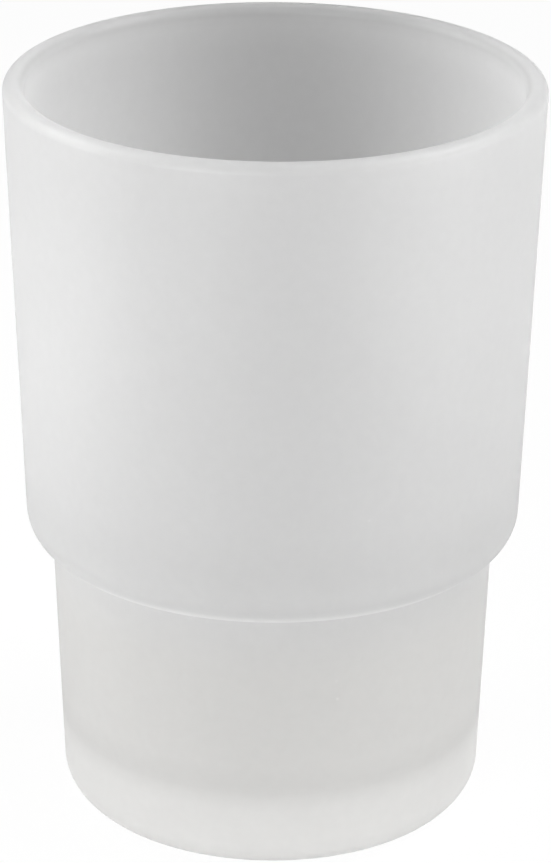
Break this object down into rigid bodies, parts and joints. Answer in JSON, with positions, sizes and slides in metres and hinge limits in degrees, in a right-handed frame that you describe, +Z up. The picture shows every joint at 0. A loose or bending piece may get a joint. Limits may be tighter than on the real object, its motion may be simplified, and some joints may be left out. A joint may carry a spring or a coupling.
{
  "type": "bathroom tumbler",
  "caption": "Stepped frosted glass tumbler with a wide barrel, a rounded shoulder that seats in a holder's ring, and a thick narrow base.",
  "frame": {"origin": "centre of the base, on the plane that the tumbler stands on", "axes": "+Z up along the tumbler's own axis; X and Y are any two directions square to it, because the glass is turned"},
  "size_m": [0.0698, 0.0698, 0.1],
  "materials": {
    "frosted_glass": "satin, acid-etched inside and out"
  },
  "bodies": {
    "root": {"glass_tumbler": "frosted_glass"}
  },
  "joints": []
}
